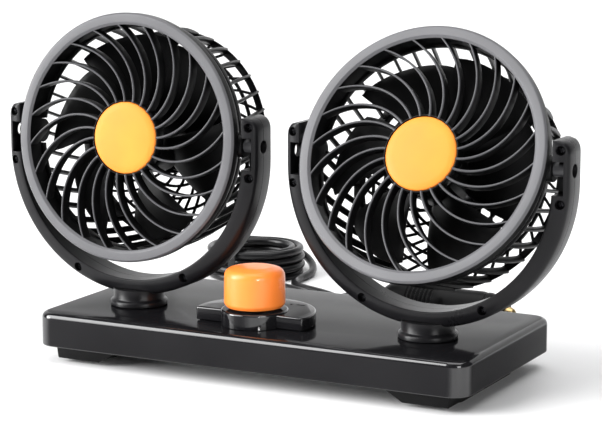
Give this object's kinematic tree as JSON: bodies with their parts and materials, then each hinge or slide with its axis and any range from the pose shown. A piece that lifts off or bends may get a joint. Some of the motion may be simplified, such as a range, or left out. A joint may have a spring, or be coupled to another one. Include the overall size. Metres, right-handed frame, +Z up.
{
  "type": "twin-head vehicle fan",
  "caption": "Low twin-head vehicle fan: two guarded round fans tilt in U-shaped yokes that swivel on a flat base with a speed knob, coiled cord and 12 V plug.",
  "frame": {"origin": "on the floor under the middle of the base", "axes": "+X to the right along the base, +Y to the back where the cord leaves, +Z up; the heads face -Y"},
  "size_m": [0.2846, 0.2529, 0.1624],
  "materials": {
    "base_gloss": "polished black with a soft reflection",
    "dark_plastic": "fine grained",
    "yoke_black": "satin, lightly textured",
    "cage_black": "satin",
    "grille_grey": "satin mid grey face, sides dark",
    "cap_yellow": "satin yellow",
    "knob_orange": "soft gloss orange",
    "pad_rubber": "matt",
    "cord_skin": "smooth black sheath",
    "steel": "zinc plated",
    "contact_brass": "nickel worn to brass",
    "circuit_green": "solder mask",
    "resistor_ceramic": "matt ceramic"
  },
  "bodies": {
    "base": {"base_cover": "base_gloss", "base_plate": "dark_plastic", "base_screw_1": "steel", "base_screw_2": "steel", "base_screw_3": "steel", "base_screw_4": "steel", "foot_left": "dark_plastic", "foot_right": "dark_plastic", "foot_pad_left": "pad_rubber", "foot_pad_right": "pad_rubber", "control_plinth": "base_gloss", "switch_body": "dark_plastic", "switch_nut": "steel", "circuit_board": "circuit_green", "speed_resistor": "resistor_ceramic", "strain_relief": "cord_skin", "cord_lead": "cord_skin", "cord_coil": "cord_skin", "coil_tie": "cord_skin", "cord_tail": "cord_skin", "plug_body": "dark_plastic", "plug_nose_ring": "dark_plastic"},
    "selector": {"knob": "knob_orange", "switch_shaft": "steel"},
    "plug_contact": {"plug_tip": "contact_brass", "plug_fuse": "steel"},
    "yoke_left": {"yoke_front_left": "yoke_black", "yoke_rear_left": "yoke_black", "swivel_neck_left": "yoke_black", "swivel_screw_left": "steel", "yoke_screw_left_1": "steel", "yoke_screw_left_2": "steel", "yoke_screw_left_3": "steel", "yoke_screw_left_4": "steel", "yoke_screw_left_5": "steel", "yoke_screw_left_6": "steel"},
    "head_left": {"front_grille_left": "grille_grey", "grille_cap_left": "cap_yellow", "rear_cage_left": "cage_black", "motor_left": "steel", "motor_lead_left": "cord_skin"},
    "rotor_left": {"fan_rotor_left": "cage_black", "motor_shaft_left": "steel"},
    "yoke_right": {"yoke_front_right": "yoke_black", "yoke_rear_right": "yoke_black", "swivel_neck_right": "yoke_black", "swivel_screw_right": "steel", "yoke_screw_right_1": "steel", "yoke_screw_right_2": "steel", "yoke_screw_right_3": "steel", "yoke_screw_right_4": "steel", "yoke_screw_right_5": "steel", "yoke_screw_right_6": "steel"},
    "head_right": {"front_grille_right": "grille_grey", "grille_cap_right": "cap_yellow", "rear_cage_right": "cage_black", "motor_right": "steel", "motor_lead_right": "cord_skin"},
    "rotor_right": {"fan_rotor_right": "cage_black", "motor_shaft_right": "steel"}
  },
  "joints": [
    {"name": "swivel_left", "type": "hinge", "parent": "base", "child": "yoke_left", "pos_m": [-0.075, -0.014, 0.0265], "axis": [0, 0, 1], "range_deg": [-170, 170]},
    {"name": "tilt_left", "type": "hinge", "parent": "yoke_left", "child": "head_left", "pos_m": [-0.075, -0.014, 0.1035], "axis": [-1, 0, 0], "range_deg": [-86, 74]},
    {"name": "spin_left", "type": "hinge", "parent": "head_left", "child": "rotor_left", "pos_m": [-0.075, -0.014, 0.1035], "axis": [0, -0.9945, 0.1045], "continuous": true},
    {"name": "swivel_right", "type": "hinge", "parent": "base", "child": "yoke_right", "pos_m": [0.075, -0.014, 0.0265], "axis": [0, 0, 1], "range_deg": [-170, 170]},
    {"name": "tilt_right", "type": "hinge", "parent": "yoke_right", "child": "head_right", "pos_m": [0.075, -0.014, 0.1035], "axis": [-1, 0, 0], "range_deg": [-103, 57]},
    {"name": "spin_right", "type": "hinge", "parent": "head_right", "child": "rotor_right", "pos_m": [0.075, -0.014, 0.1035], "axis": [0, -0.9205, 0.3907], "continuous": true},
    {"name": "speed_turn", "type": "hinge", "parent": "base", "child": "selector", "pos_m": [-0.006, -0.026, 0.04], "axis": [0, 0, 1], "range_deg": [-120, 0]},
    {"name": "contact_press", "type": "slide", "parent": "base", "child": "plug_contact", "axis": [-1, 0, 0], "range_m": [0, 0.002], "stiffness_N_per_m": 600, "springref_m": -0.002}
  ]
}
